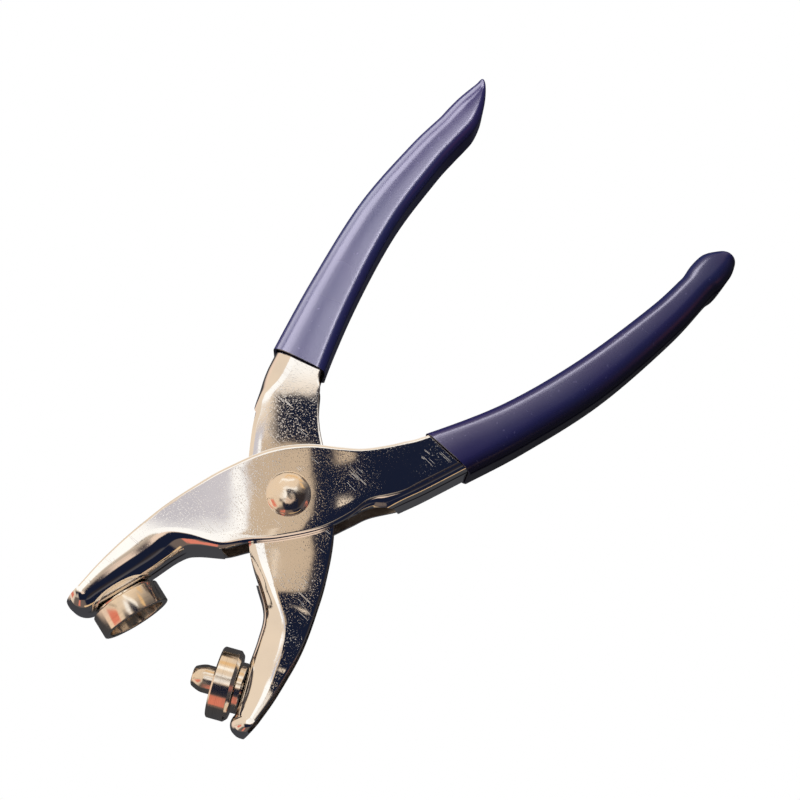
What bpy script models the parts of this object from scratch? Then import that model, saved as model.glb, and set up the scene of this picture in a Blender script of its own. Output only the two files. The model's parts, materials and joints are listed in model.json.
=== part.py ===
"""Eyelet and snap setting pliers: two folded sheet-steel arms on a domed pivot rivet.

The pliers lie flat. The pivot axis is +Z, the handles run along +Y and the jaws along -Y.
The flat tail of the pivot rivet stands on z = 0 at the origin. Lengths are in millimetres in the
constants and are turned into metres when a mesh is made.
"""

import bmesh
import bpy
from math import acos, atan2, cos, pi, radians, sin
from mathutils import Matrix, Vector

MM = 0.001

# Heights along the pivot axis, from the table upwards.
MID_HEIGHT = 9.2
SHEET = 1.8
OUTER_HALF_DEPTH = 7.5
INNER_HALF_DEPTH = 5.4
INNER_JAW_HALF_DEPTH = 6.6
CLEARANCE = 0.3
SEAT_GAP = 0.2

# Each arm is drawn as ribs that run from its open edge to its folded edge, from the nose of
# the jaw to the end of the handle. A rib is (open edge, folded edge, fold radius). A rib with
# no fold radius lies in the slot, where the folded web is cut away for the other arm.
OUTER_RIBS = [
    ((-19.9, -47.0), (-13.8, -47.9), 4.2),
    ((-20.2, -40.0), (-12.1, -41.5), 5.0),
    ((-20.0, -33.0), (-10.4, -34.5), 5.4),
    ((-19.4, -26.5), (-8.9, -27.6), 5.0),
    ((-18.5, -20.0), (-6.9, -23.9), 3.4),
    ((-16.6, -11.8), (-1.8, -19.8), 0.8),
    ((-14.6, -5.0), (1.2, -13.8), 0.0),
    ((-10.5, 4.5), (5.5, -8.9), 0.0),
    ((-5.0, 11.4), (10.9, -1.2), 0.0),
    ((1.0, 16.0), (13.9, 6.0), 0.0),
    ((5.0, 19.2), (15.8, 10.6), 0.0),
    ((8.4, 23.3), (20.7, 16.9), 2.6),
    ((10.8, 26.8), (22.6, 21.6), 3.0),
    ((14.0, 32.0), (25.8, 30.7), 3.0),
    ((22.4, 49.7), (31.4, 47.0), 3.0),
    ((28.4, 70.0), (37.0, 68.5), 3.0),
    ((32.3, 92.0), (39.6, 91.5), 3.0),
    ((33.2, 104.0), (39.7, 106.0), 3.0),
]
INNER_RIBS = [
    ((29.6, -41.5), (25.1, -43.9), 3.4),
    ((28.9, -36.0), (22.4, -38.8), 4.2),
    ((27.8, -30.5), (19.7, -33.6), 4.6),
    ((26.5, -25.0), (17.2, -28.2), 4.2),
    ((24.9, -20.3), (14.2, -23.4), 3.0),
    ((22.4, -14.6), (8.1, -19.9), 0.8),
    ((19.0, -7.8), (2.9, -15.8), 0.0),
    ((13.3, 1.0), (-4.0, -9.3), 0.0),
    ((6.0, 8.6), (-10.5, -2.7), 0.0),
    ((-2.7, 14.3), (-16.0, 4.2), 0.0),
    ((-6.5, 17.2), (-19.2, 8.9), 0.0),
    ((-9.9, 20.6), (-22.1, 12.9), 1.4),
    ((-12.5, 23.8), (-24.5, 17.5), 2.8),
    ((-15.4, 27.6), (-26.5, 23.4), 2.8),
    ((-22.3, 45.6), (-31.9, 42.4), 2.8),
    ((-28.1, 66.1), (-36.9, 64.6), 2.8),
    ((-30.5, 84.0), (-38.3, 84.0), 2.8),
    ((-30.9, 93.0), (-38.1, 95.5), 2.8),
]
STEPS_PER_RIB = 3
# The nose sweeps from the first rib round to a last direction, and ends at this reach.
NOSE_STEPS = 7
OUTER_NOSE = {"last_angle": radians(-90.0), "bulge": 0.6, "last_reach": 4.6}
INNER_NOSE = {"last_angle": radians(-88.0), "bulge": 1.1, "last_reach": 4.9}
# The cut ends of the web slant: at the upper wall they lie this many ribs nearer the jaw.
JAW_END_SLANT = 0.6
HANDLE_END_SLANT = 0.8

WALL_STEPS = 4
FOLD_STEPS = 5
WEB_STEPS = 3

# Slip-on vinyl grips, closed at the end.
GRIP_WALL = 0.6
GRIP_GAP = 0.2
GRIP_WEB_CORNER = 3.6
GRIP_OPEN_CORNER = 1.6
GRIP_CORNER_STEPS = 5
GRIP_STEPS = 18
# Past the steel, a grip is drawn by (open side, web side, share of the full depth).
OUTER_GRIP = {
    "start": 13.02,
    "slant": 0.10,
    "end": [
        ((31.9, 106.8), (40.9, 107.8), 1.0),
        ((32.1, 110.6), (40.7, 111.6), 0.98),
        ((33.5, 113.4), (40.0, 114.1), 0.92),
        ((35.4, 115.3), (38.8, 115.7), 0.80),
    ],
    "tip": (37.1, 116.4),
}
INNER_GRIP = {
    "start": 12.95,
    "slant": 0.07,
    "end": [
        ((-29.7, 95.6), (-39.2, 97.6), 1.0),
        ((-30.2, 99.2), (-39.0, 101.8), 1.0),
        ((-31.6, 103.0), (-38.7, 105.4), 0.97),
        ((-33.8, 106.3), (-38.4, 107.9), 0.92),
        ((-36.0, 108.6), (-38.0, 109.4), 0.84),
    ],
    "tip": (-37.3, 110.1),
}

# Pivot rivet, bush and opening spring.
SHANK_RADIUS = 2.5
HEAD_RADIUS = 5.15
HEAD_HEIGHT = 2.5
TAIL_RADIUS = 4.4
TAIL_HEIGHT = 1.4
BUSH_WALL = 1.0
SPRING_WIRE_RADIUS = 0.6
SPRING_COIL_RADIUS = 5.3
SPRING_PITCH = 1.4
SPRING_TURNS = 3
OUTER_LEG_END = (17.9, 17.4)
INNER_LEG_END = (-20.6, 17.6)

# Dies. Each is placed by the centre of its working face and the direction it faces.
DIE_RADIUS = 8.15
CUP_FACE = (-6.33, -43.47)
CUP_DIRECTION = (0.97, -0.244)
CUP_HEIGHT = 5.2
CUP_RECESS_RADIUS = 6.7
CUP_RECESS_DEPTH = 4.3
CUP_SEAT_RADIUS = 7.0
CUP_SEAT_HEIGHT = 0.5
STUD_FACE = (16.4, -41.5)
STUD_DIRECTION = (-0.888, -0.459)
COLLAR_HEIGHT = 4.9
COLLAR_CHAMFER = 0.8
COLLAR_FRONT_CHAMFER = 0.35
STUD_SEAT_RADIUS = 5.8
STUD_SEAT_HEIGHT = 1.3
STUD_RADIUS = 3.175
STUD_LENGTH = 5.2
STUD_TIP_RADIUS = 2.1
DIE_SHANK_RADIUS = 1.9
DIE_TAIL_RADIUS = 2.9
DIE_TAIL_HEIGHT = 1.0

ROUND_SEGMENTS = 48
SMOOTH_ANGLE = radians(35.0)


def material(name, colour, metallic, roughness):
    made = bpy.data.materials.new(name)
    made.use_nodes = True
    shader = made.node_tree.nodes["Principled BSDF"]
    shader.inputs["Base Color"].default_value = (*colour, 1.0)
    shader.inputs["Metallic"].default_value = metallic
    shader.inputs["Roughness"].default_value = roughness
    return made


def solid(name, vertices, faces, look):
    """A closed mesh object from points in millimetres, with outward normals."""
    work = bmesh.new()
    points = [work.verts.new(Vector(vertex) * MM) for vertex in vertices]
    for face in faces:
        corners = [points[index] for index in face]
        if len(set(corners)) > 2:
            work.faces.new(corners)
    bmesh.ops.remove_doubles(work, verts=work.verts, dist=1e-7)
    bmesh.ops.dissolve_degenerate(work, edges=work.edges, dist=1e-7)
    bmesh.ops.recalc_face_normals(work, faces=work.faces)
    mesh = bpy.data.meshes.new(name)
    work.to_mesh(mesh)
    work.free()
    if look:
        mesh.materials.append(look)
    made = bpy.data.objects.new(name, mesh)
    bpy.context.collection.objects.link(made)
    mesh.shade_smooth()
    mesh.set_sharp_from_angle(angle=SMOOTH_ANGLE)
    return made


def spline(points, at):
    """The point at a fractional index on the Catmull-Rom curve through the points."""
    last = len(points) - 1
    if at < 0:
        return points[0] + (points[1] - points[0]) * at
    if at > last:
        return points[last] + (points[last] - points[last - 1]) * (at - last)
    index = min(int(at), last - 1)
    part = at - index
    here = points[index]
    there = points[index + 1]
    before = points[index - 1] if index > 0 else here * 2 - there
    after = points[index + 2] if index + 2 < len(points) else there * 2 - here
    straight = here * 2 + (there - before) * part
    bend = (before * 2 - here * 5 + there * 4 - after) * part**2
    twist = (here * 3 - before - there * 3 + after) * part**3
    return (straight + bend + twist) / 2


def smooth_step(low, high, value):
    part = min(max((value - low) / (high - low), 0.0), 1.0)
    return part * part * (3 - 2 * part)


class Arm:
    """The middle lines of one folded arm, as functions of a fractional rib number."""

    def __init__(self, ribs, nose, half_depth, jaw_half_depth):
        self.open_edge = [Vector(rib[0]) for rib in ribs]
        folded = [Vector(rib[1]) for rib in ribs]
        self.radius = [rib[2] for rib in ribs]
        in_slot = [index for index, rib in enumerate(ribs) if rib[2] == 0.0]
        self.slot = (in_slot[0] - 1, in_slot[-1] + 1)
        self.last = len(ribs) - 1
        self.nose = nose
        self.half_depth = half_depth
        self.jaw_half_depth = jaw_half_depth
        self.wall_edge = []
        for start, end, radius in zip(self.open_edge, folded, self.radius):
            self.wall_edge.append(end - (end - start).normalized() * radius)
        self.jaw_web = folded[: self.slot[0] + 1]
        self.handle_web = folded[self.slot[1] :]

    def web(self, at):
        if at <= self.slot[0] + 1:
            return spline(self.jaw_web, at)
        return spline(self.handle_web, at - self.slot[1])

    def fold(self, at):
        """How far the fold reaches down from the wall's face, at this rib."""
        index = min(max(int(at), 0), self.last - 1)
        part = at - index
        value = self.radius[index] * (1 - part) + self.radius[index + 1] * part
        return max(value, SHEET + 0.2)

    def depth(self, at):
        """Half the arm's depth: the jaw of the inner arm is deeper than its middle."""
        wide = 1 - smooth_step(self.slot[0] - 2.0, self.slot[0] - 0.3, at)
        return self.half_depth + (self.jaw_half_depth - self.half_depth) * wide

    def rib(self, at):
        """Open edge, wall edge, web edge, fold height and half depth, in the plan."""
        if at < 0:
            return self.nose_rib(-at / NOSE_STEPS * STEPS_PER_RIB)
        return (
            spline(self.open_edge, at),
            spline(self.wall_edge, at),
            self.web(at),
            self.fold(at),
            self.depth(at),
        )

    def nose_rib(self, part):
        """A rib that turns about the end of the open edge, to close the nose."""
        centre = self.open_edge[0]
        across = self.jaw_web[0] - centre
        first = atan2(across.y, across.x)
        turn = (self.nose["last_angle"] - first) % (2 * pi)
        turn = turn - 2 * pi if turn > pi else turn
        angle = first + turn * part
        reach = across.length * (1 - part) + self.nose["last_reach"] * part
        reach += self.nose["bulge"] * sin(pi * part)
        direction = Vector((cos(angle), sin(angle)))
        radius = min(self.radius[0], reach - SHEET * 0.5)
        edge = centre + direction * (reach - radius)
        return centre, edge, centre + direction * reach, self.fold(0), self.depth(0)


def channel_section(rib, inset):
    """Points round one rib of the folded sheet, from the upper open edge to the lower one."""
    open_edge, wall_edge, web_edge, fold, depth = rib
    web = web_edge - (web_edge - open_edge).normalized() * inset
    limit = (web - open_edge).length
    reach = min((wall_edge - open_edge).length, limit - 0.2)
    edge = open_edge + (wall_edge - open_edge).normalized() * reach
    top = depth - inset
    drop = fold - inset
    upper = []
    for step in range(WALL_STEPS):
        point = open_edge.lerp(edge, step / WALL_STEPS)
        upper.append((point.x, point.y, top))
    for step in range(FOLD_STEPS + 1):
        angle = pi / 2 * step / FOLD_STEPS
        point = edge.lerp(web, sin(angle))
        upper.append((point.x, point.y, top - drop * (1 - cos(angle))))
    low = top - drop
    middle = []
    for step in range(1, WEB_STEPS):
        middle.append((web.x, web.y, low * (1 - 2 * step / WEB_STEPS)))
    lower = [(x, y, -z) for x, y, z in reversed(upper)]
    return upper + middle + lower


def build_arm(name, arm, look):
    """The folded sheet of one arm: an outer and an inner skin joined along every cut edge."""
    ribs = [-step / STEPS_PER_RIB for step in range(NOSE_STEPS, 0, -1)]
    ribs += [step / STEPS_PER_RIB for step in range(arm.last * STEPS_PER_RIB + 1)]
    count = 2 * (WALL_STEPS + FOLD_STEPS + 1) + WEB_STEPS - 1
    first_fold = WALL_STEPS
    last_fold = count - 1 - WALL_STEPS

    def station(at, column):
        """Slants the two ends of the slot, most at the upper wall and not at all at the lower."""
        if column <= first_fold:
            share = column / first_fold
        else:
            share = max(0.0, (last_fold - column) / (last_fold - first_fold))
        jaw_end = max(0.0, 1 - abs(at - arm.slot[0]) / 2)
        handle_end = max(0.0, 1 - abs(at - arm.slot[1]) / 2)
        return at - share * (JAW_END_SLANT * jaw_end + HANDLE_END_SLANT * handle_end)

    skins = []
    for inset in (0.0, SHEET):
        skin = []
        for at in ribs:
            row = []
            for column in range(count):
                point = channel_section(arm.rib(station(at, column)), inset)[column]
                row.append(Vector(point) + Vector((0, 0, MID_HEIGHT)))
            skin.append(row)
        skins.append(skin)

    def present(row, column):
        if row < 0 or row >= len(ribs) - 1 or column < 0 or column >= count - 1:
            return False
        centre = (ribs[row] + ribs[row + 1]) / 2
        cut = arm.slot[0] < centre < arm.slot[1]
        return not (cut and first_fold <= column < last_fold)

    size = len(ribs) * count
    vertices = [point for skin in skins for row in skin for point in row]
    faces = []

    def number(skin, row, column):
        return skin * size + row * count + column

    for row in range(len(ribs) - 1):
        for column in range(count - 1):
            if not present(row, column):
                continue
            corners = [(row, column), (row, column + 1), (row + 1, column + 1), (row + 1, column)]
            faces.append([number(0, *corner) for corner in corners])
            faces.append([number(1, *corner) for corner in reversed(corners)])
            beside = [(row, column - 1), (row + 1, column), (row, column + 1), (row - 1, column)]
            sides = [(0, 3), (3, 2), (2, 1), (1, 0)]
            for neighbour, (start, end) in zip(beside, sides):
                if present(*neighbour):
                    continue
                ends = (corners[start], corners[end])
                faces.append(
                    [
                        number(0, *ends[0]),
                        number(0, *ends[1]),
                        number(1, *ends[1]),
                        number(1, *ends[0]),
                    ]
                )
    return solid(name, vertices, faces, look)


def drill(target, name, centre, direction, radius, length):
    """Cuts a round hole through the target, centred on a point in millimetres."""
    cutter = rod(name, radius, length, None)
    place(cutter, centre, direction, -length / 2)
    cutter.hide_render = True
    cutter.display_type = "WIRE"
    cut = target.modifiers.new(name, "BOOLEAN")
    cut.operation = "DIFFERENCE"
    cut.solver = "EXACT"
    cut.object = cutter


def rod(name, radius, length, look):
    return turned(name, [(radius, 0.0), (radius, length)], look)


def turned(name, profile, look):
    """A solid of revolution about local +Z, from (radius, height) pairs, closed on the axis."""
    vertices = []
    faces = []
    rings = []
    for radius, height in profile:
        ring = []
        for step in range(ROUND_SEGMENTS):
            angle = 2 * pi * step / ROUND_SEGMENTS
            ring.append(len(vertices))
            vertices.append((radius * cos(angle), radius * sin(angle), height))
        rings.append(ring)
    for low, high in zip(rings, rings[1:]):
        for step in range(ROUND_SEGMENTS):
            after = (step + 1) % ROUND_SEGMENTS
            faces.append([low[step], low[after], high[after], high[step]])
    faces.append(list(reversed(rings[0])))
    faces.append(rings[-1])
    return solid(name, vertices, faces, look)


def ring(name, profile, look):
    """A turned ring, from a closed loop of (radius, height) pairs."""
    vertices = []
    faces = []
    count = len(profile)
    for step in range(ROUND_SEGMENTS):
        angle = 2 * pi * step / ROUND_SEGMENTS
        for radius, height in profile:
            vertices.append((radius * cos(angle), radius * sin(angle), height))
    for step in range(ROUND_SEGMENTS):
        after = (step + 1) % ROUND_SEGMENTS
        for index in range(count):
            beyond = (index + 1) % count
            faces.append(
                [
                    step * count + index,
                    after * count + index,
                    after * count + beyond,
                    step * count + beyond,
                ]
            )
    return solid(name, vertices, faces, look)


def place(target, centre, direction, along):
    """Puts the target's local +Z along a direction, starting at a distance from a centre."""
    axis = Vector(direction).normalized()
    turn = axis.to_track_quat("Z", "Y")
    start = Vector(centre) + axis * along
    target.matrix_world = Matrix.Translation(start * MM) @ turn.to_matrix().to_4x4()


def grip_section(open_edge, web_edge, depth, margin, share=None):
    """A rounded rectangle round the arm at one rib, with a margin outside the steel.

    Past the steel the two edges are those of the vinyl itself, and share narrows its depth.
    """
    across = (web_edge - open_edge).normalized()
    reach = (web_edge - open_edge).length
    low = -margin if share is None else 0.0
    high = reach - low
    top = (depth + margin) * (1.0 if share is None else share)
    thinner = GRIP_WALL + GRIP_GAP - margin
    web_corner = min(GRIP_WEB_CORNER - thinner, (high - low) * 0.6)
    open_corner = min(max(GRIP_OPEN_CORNER - 2 * thinner, GRIP_GAP), (high - low) * 0.3)
    points = []
    for corner, centre_u, side, start in (
        (web_corner, high - web_corner, 1, 0.0),
        (open_corner, low + open_corner, 1, pi / 2),
        (open_corner, low + open_corner, -1, pi),
        (web_corner, high - web_corner, -1, 3 * pi / 2),
    ):
        centre_z = side * (top - corner)
        for step in range(GRIP_CORNER_STEPS):
            angle = start + pi / 2 * step / (GRIP_CORNER_STEPS - 1)
            plan = open_edge + across * (centre_u + corner * cos(angle))
            points.append(Vector((plan.x, plan.y, centre_z + corner * sin(angle) + MID_HEIGHT)))
    return points


def build_grip(name, arm, shape, look):
    """A vinyl sleeve over the handle: open at the mouth and rounded shut past the steel."""

    def along(part, margin):
        at = shape["start"] + (arm.last - shape["start"]) * part
        slant = shape["slant"] * (1 - smooth_step(0.0, 0.35, part))
        near = spline(arm.open_edge, at)
        far = arm.web(min(at + slant, arm.last))
        return grip_section(near, far, arm.half_depth, margin)

    margin = GRIP_WALL + GRIP_GAP
    outer = [along(step / GRIP_STEPS, margin) for step in range(GRIP_STEPS)]
    for near, far, share in shape["end"]:
        outer.append(grip_section(Vector(near), Vector(far), arm.half_depth, margin, share))
    inner = [along(step / GRIP_STEPS, GRIP_GAP) for step in range(GRIP_STEPS + 1)]
    push = Vector((*shape["tip"], MID_HEIGHT)) - sum(inner[-1], Vector()) / len(inner[-1])
    push = push.normalized() * GRIP_GAP
    inner.append([point + push for point in inner[-1]])
    count = len(outer[0])
    vertices = []
    faces = []
    for rows, tip in (
        (outer, Vector((*shape["tip"], MID_HEIGHT))),
        (inner, sum(inner[-1], Vector()) / count),
    ):
        base = len(vertices)
        vertices += [point for row in rows for point in row]
        vertices.append(tip)
        for row in range(len(rows) - 1):
            low = base + row * count
            for step in range(count):
                after = (step + 1) % count
                faces.append([low + step, low + after, low + count + after, low + count + step])
        last = base + (len(rows) - 1) * count
        for step in range(count):
            faces.append([last + step, last + (step + 1) % count, last + count])
    size = len(outer) * count + 1
    for step in range(count):
        after = (step + 1) % count
        faces.append([step, after, size + after, size + step])
    return solid(name, vertices, faces, look)


def swept_wire(name, path, radius, look):
    """A round wire along a path of points, with flat ends."""
    sides = 10
    vertices = []
    faces = []
    side = Vector((0, 0, 1))
    for index, point in enumerate(path):
        before = path[max(index - 1, 0)]
        after = path[min(index + 1, len(path) - 1)]
        along = (after - before).normalized()
        side = (side - along * side.dot(along)).normalized()
        across = along.cross(side)
        for step in range(sides):
            angle = 2 * pi * step / sides
            vertices.append(point + side * radius * cos(angle) + across * radius * sin(angle))
    for row in range(len(path) - 1):
        for step in range(sides):
            after = (step + 1) % sides
            low = row * sides
            high = low + sides
            faces.append([low + step, low + after, high + after, high + step])
    faces.append(list(range(sides)))
    faces.append([len(vertices) - 1 - step for step in range(sides)])
    return solid(name, vertices, faces, look)


def spring_path():
    """A torsion coil round the pivot whose two legs lean on the webs of the two handles."""
    outer_end = Vector(OUTER_LEG_END)
    inner_end = Vector(INNER_LEG_END)
    radius = SPRING_COIL_RADIUS
    finish = atan2(outer_end.y, outer_end.x) - acos(radius / outer_end.length)
    start = atan2(inner_end.y, inner_end.x) + acos(radius / inner_end.length)
    turn = (finish - start) % (2 * pi) + 2 * pi * (SPRING_TURNS - 1)
    height = SPRING_PITCH * turn / (2 * pi)
    points = [Vector((*inner_end, MID_HEIGHT - height / 2))]
    steps = int(turn / radians(15))
    for step in range(steps + 1):
        part = step / steps
        angle = start + turn * part
        level = MID_HEIGHT + height * (part - 0.5)
        points.append(Vector((radius * cos(angle), radius * sin(angle), level)))
    points.append(Vector((*outer_end, MID_HEIGHT + height / 2)))
    return points


def build():
    for item in list(bpy.data.objects):
        bpy.data.objects.remove(item, do_unlink=True)

    plate = material("nickel_plated_steel", (0.72, 0.70, 0.67), 1.0, 0.12)
    rivet_look = material("bright_rivet_steel", (0.80, 0.74, 0.64), 1.0, 0.15)
    die_look = material("turned_nickel_die", (0.74, 0.68, 0.60), 1.0, 0.22)
    spring_look = material("spring_wire", (0.35, 0.34, 0.33), 1.0, 0.35)
    bush_look = material("plain_bush_steel", (0.50, 0.49, 0.47), 1.0, 0.35)
    vinyl = material("navy_vinyl", (0.035, 0.030, 0.115), 0.0, 0.28)

    outer = Arm(OUTER_RIBS, OUTER_NOSE, OUTER_HALF_DEPTH, OUTER_HALF_DEPTH)
    inner = Arm(INNER_RIBS, INNER_NOSE, INNER_HALF_DEPTH, INNER_JAW_HALF_DEPTH)
    outer_arm = build_arm("outer_arm", outer, plate)
    inner_arm = build_arm("inner_arm", inner, plate)
    build_grip("outer_grip", outer, OUTER_GRIP, vinyl)
    build_grip("inner_grip", inner, INNER_GRIP, vinyl)

    # The pivot: a rivet through both arms, a bush between the inner arm's walls, the spring.
    up = (0, 0, 1)
    pivot = (0, 0, MID_HEIGHT)
    hole = SHANK_RADIUS + CLEARANCE
    through = 4 * OUTER_HALF_DEPTH
    drill(outer_arm, "outer_pivot_cut", pivot, up, hole, through)
    drill(inner_arm, "inner_pivot_cut", pivot, up, hole, through)
    tail_top = MID_HEIGHT - OUTER_HALF_DEPTH - CLEARANCE
    head_base = MID_HEIGHT + OUTER_HALF_DEPTH + CLEARANCE
    profile = [
        (TAIL_RADIUS - 0.5, tail_top - TAIL_HEIGHT),
        (TAIL_RADIUS, tail_top - TAIL_HEIGHT + 0.5),
        (TAIL_RADIUS, tail_top),
        (SHANK_RADIUS, tail_top),
        (SHANK_RADIUS, head_base),
        (HEAD_RADIUS, head_base),
        (HEAD_RADIUS, head_base + 0.35),
    ]
    for step in range(1, 9):
        angle = pi / 2 * step / 9
        radius = HEAD_RADIUS * cos(angle)
        profile.append((radius, head_base + 0.35 + (HEAD_HEIGHT - 0.35) * sin(angle)))
    turned("pivot_rivet", profile, rivet_look)
    bush_inside = SHANK_RADIUS + CLEARANCE
    bush_half = INNER_HALF_DEPTH - SHEET - CLEARANCE
    bush = ring(
        "pivot_bush",
        [
            (bush_inside, -bush_half),
            (bush_inside + BUSH_WALL, -bush_half),
            (bush_inside + BUSH_WALL, bush_half),
            (bush_inside, bush_half),
        ],
        bush_look,
    )
    bush.location = Vector(pivot) * MM
    swept_wire("opening_spring", spring_path(), SPRING_WIRE_RADIUS, spring_look)

    # The cup die on the outer jaw: seat, cup and the rivet through its floor.
    cup_face = (*CUP_FACE, MID_HEIGHT)
    cup_axis = (*CUP_DIRECTION, 0.0)
    floor = -CUP_RECESS_DEPTH
    back = -CUP_HEIGHT
    shank_hole = DIE_SHANK_RADIUS + CLEARANCE
    cup = ring(
        "cup_die",
        [
            (shank_hole, back),
            (DIE_RADIUS - 0.3, back),
            (DIE_RADIUS, back + 0.3),
            (DIE_RADIUS, -0.2),
            (DIE_RADIUS - 0.2, 0.0),
            (CUP_RECESS_RADIUS + 0.3, 0.0),
            (CUP_RECESS_RADIUS, -0.3),
            (CUP_RECESS_RADIUS, floor + 0.6),
            (CUP_RECESS_RADIUS - 0.6, floor),
            (shank_hole, floor),
        ],
        die_look,
    )
    place(cup, cup_face, cup_axis, 0.0)
    seat_top = back - SEAT_GAP
    seat = ring(
        "cup_seat",
        [
            (shank_hole, seat_top - CUP_SEAT_HEIGHT),
            (CUP_SEAT_RADIUS, seat_top - CUP_SEAT_HEIGHT),
            (CUP_SEAT_RADIUS, seat_top),
            (shank_hole, seat_top),
        ],
        die_look,
    )
    place(seat, cup_face, cup_axis, 0.0)
    die_rivet(
        "cup_rivet",
        outer_arm,
        (cup_face, cup_axis),
        seat_top - CUP_SEAT_HEIGHT - SEAT_GAP,
        [(DIE_TAIL_RADIUS + 0.5, floor + CLEARANCE), (DIE_TAIL_RADIUS, floor + CLEARANCE + 0.8)],
        die_look,
    )

    # The stud die on the inner jaw: seat, collar and the stud that rivets it to the jaw.
    stud_face = (*STUD_FACE, MID_HEIGHT)
    stud_axis = (*STUD_DIRECTION, 0.0)
    back = -COLLAR_HEIGHT
    collar = ring(
        "stud_collar",
        [
            (shank_hole, back),
            (DIE_RADIUS - COLLAR_CHAMFER, back),
            (DIE_RADIUS, back + COLLAR_CHAMFER),
            (DIE_RADIUS, -COLLAR_FRONT_CHAMFER),
            (DIE_RADIUS - COLLAR_FRONT_CHAMFER, 0.0),
            (shank_hole, 0.0),
        ],
        die_look,
    )
    place(collar, stud_face, stud_axis, 0.0)
    seat_top = back - SEAT_GAP
    seat = ring(
        "stud_seat",
        [
            (shank_hole, seat_top - STUD_SEAT_HEIGHT),
            (STUD_SEAT_RADIUS, seat_top - STUD_SEAT_HEIGHT),
            (STUD_SEAT_RADIUS, seat_top),
            (shank_hole, seat_top),
        ],
        die_look,
    )
    place(seat, stud_face, stud_axis, 0.0)
    stud = [(STUD_RADIUS, CLEARANCE), (STUD_RADIUS, STUD_LENGTH * 0.45)]
    for step in range(1, 5):
        part = step / 4
        narrow = STUD_RADIUS - (STUD_RADIUS - STUD_TIP_RADIUS) * part**1.6
        stud.append((narrow, STUD_LENGTH * (0.45 + 0.55 * part)))
    die_rivet(
        "stud_pin",
        inner_arm,
        (stud_face, stud_axis),
        seat_top - STUD_SEAT_HEIGHT - SEAT_GAP,
        stud,
        die_look,
    )


def die_rivet(name, arm, placing, web_face, head, look):
    """A rivet from the head in the die, through the jaw's web, to a tail inside the channel."""
    tail_top = web_face - SHEET - 2 * SEAT_GAP
    profile = [
        (DIE_TAIL_RADIUS - 0.5, tail_top - DIE_TAIL_HEIGHT),
        (DIE_TAIL_RADIUS, tail_top - DIE_TAIL_HEIGHT + 0.4),
        (DIE_TAIL_RADIUS, tail_top),
        (DIE_SHANK_RADIUS, tail_top),
        (DIE_SHANK_RADIUS, head[0][1]),
        *head,
    ]
    made = turned(name, profile, look)
    centre, axis = placing
    place(made, centre, axis, 0.0)
    cut_length = 2 * SHEET + 2.0
    web_centre = Vector(centre) + Vector(axis).normalized() * (web_face - SHEET / 2)
    drill(arm, name + "_cut", web_centre, axis, DIE_SHANK_RADIUS + CLEARANCE, cut_length)


build()
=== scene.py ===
"""Looks of the eyelet setting pliers: bright plated pressed-steel arms, turned dies, vinyl grips.

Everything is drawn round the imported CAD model, in the same frame. Lengths are in millimetres in
the constants and are turned into metres when a mesh is made. The pliers lie flat: the pivot axis
is +Z, the handles run along +Y and the jaws along -Y.
"""

import json
from math import acos, atan2, cos, pi, radians, sin, sqrt

import bmesh
import bpy
from mathutils import Matrix, Vector


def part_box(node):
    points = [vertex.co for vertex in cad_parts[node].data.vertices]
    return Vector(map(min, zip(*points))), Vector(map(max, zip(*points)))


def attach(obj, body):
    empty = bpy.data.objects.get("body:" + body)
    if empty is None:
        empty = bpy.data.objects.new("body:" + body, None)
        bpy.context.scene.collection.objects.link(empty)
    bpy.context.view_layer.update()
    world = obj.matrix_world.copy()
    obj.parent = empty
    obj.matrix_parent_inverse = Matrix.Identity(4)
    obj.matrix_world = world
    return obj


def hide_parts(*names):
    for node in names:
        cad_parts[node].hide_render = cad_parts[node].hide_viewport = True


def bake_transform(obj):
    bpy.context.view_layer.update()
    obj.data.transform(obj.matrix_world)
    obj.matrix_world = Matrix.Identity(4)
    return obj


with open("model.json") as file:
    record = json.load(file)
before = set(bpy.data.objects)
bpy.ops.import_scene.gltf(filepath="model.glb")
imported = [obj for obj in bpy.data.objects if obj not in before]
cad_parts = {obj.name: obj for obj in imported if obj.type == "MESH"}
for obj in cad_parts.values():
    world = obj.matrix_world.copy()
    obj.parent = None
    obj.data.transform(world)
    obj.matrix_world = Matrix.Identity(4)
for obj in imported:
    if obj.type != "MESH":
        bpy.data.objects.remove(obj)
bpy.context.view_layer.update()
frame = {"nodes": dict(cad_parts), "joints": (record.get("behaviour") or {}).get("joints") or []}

MM = 0.001


def span(node):
    """Lowest and highest corner of a CAD node, in millimetres."""
    low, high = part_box(node)
    return low / MM, high / MM


# ---------------------------------------------------------------- sizes that the frame gives
PIVOT = Vector(frame["joints"][0]["pos_m"]) / MM
MID_HEIGHT = PIVOT.z
ARM_LOW, ARM_HIGH = span("outer_arm")
INNER_LOW, INNER_HIGH = span("inner_arm")
RIVET_LOW, RIVET_HIGH = span("pivot_rivet")
OUTER_HALF_DEPTH = (ARM_HIGH.z - ARM_LOW.z) / 2
INNER_JAW_HALF_DEPTH = (INNER_HIGH.z - INNER_LOW.z) / 2
INNER_HALF_DEPTH = 5.4
HEAD_RADIUS = (RIVET_HIGH.x - RIVET_LOW.x) / 2

# ---------------------------------------------------------------- folded arms
SHEET = 1.8
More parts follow.
